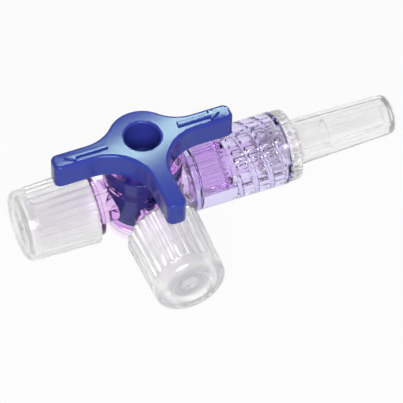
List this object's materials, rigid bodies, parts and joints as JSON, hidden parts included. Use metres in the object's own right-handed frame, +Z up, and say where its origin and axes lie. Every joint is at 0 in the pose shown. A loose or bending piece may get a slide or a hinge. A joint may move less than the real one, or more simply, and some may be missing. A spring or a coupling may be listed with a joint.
{
  "type": "three way stopcock",
  "caption": "Clear three way stopcock with a blue turning tap, capped female ports, a spinning lock collar and a protective cap on its male end.",
  "frame": {"origin": "on the tap's turning axis, at the flat foot under the barrel that the stopcock stands on", "axes": "+X along the flow axis towards the male lock end, -Y towards the side port, +Z up along the tap's axis towards the handle"},
  "size_m": [0.0605, 0.0257, 0.0184],
  "materials": {
    "clear_housing": "clear polycarbonate with a pale violet tint, polished",
    "blue_tap": "solid deep blue polyethylene, smooth and glossy",
    "translucent_cap": "milky translucent polypropylene, satin",
    "clear_collar": "clear polycarbonate, polished"
  },
  "bodies": {
    "housing": {"housing": "clear_housing"},
    "tap": {"tap": "blue_tap"},
    "inlet_cap": {"inlet_cap": "translucent_cap"},
    "side_cap": {"side_cap": "translucent_cap"},
    "lock_collar": {"lock_collar": "clear_collar"},
    "tip_cap": {"tip_cap": "translucent_cap"}
  },
  "joints": [
    {"name": "tap_turn", "type": "hinge", "parent": "housing", "child": "tap", "pos_m": [0, 0, 0.0058], "axis": [0, 0, 1], "continuous": true},
    {"name": "collar_spin", "type": "hinge", "parent": "housing", "child": "lock_collar", "pos_m": [0.0072, 0, 0.0058], "axis": [1, 0, 0], "continuous": true},
    {"name": "inlet_cap_off", "type": "slide", "parent": "housing", "child": "inlet_cap", "axis": [-1, 0, 0], "range_m": [0, 0.02]},
    {"name": "side_cap_off", "type": "slide", "parent": "housing", "child": "side_cap", "axis": [0, -1, 0], "range_m": [0, 0.02]},
    {"name": "tip_cap_off", "type": "slide", "parent": "housing", "child": "tip_cap", "axis": [1, 0, 0], "range_m": [0, 0.025]}
  ]
}
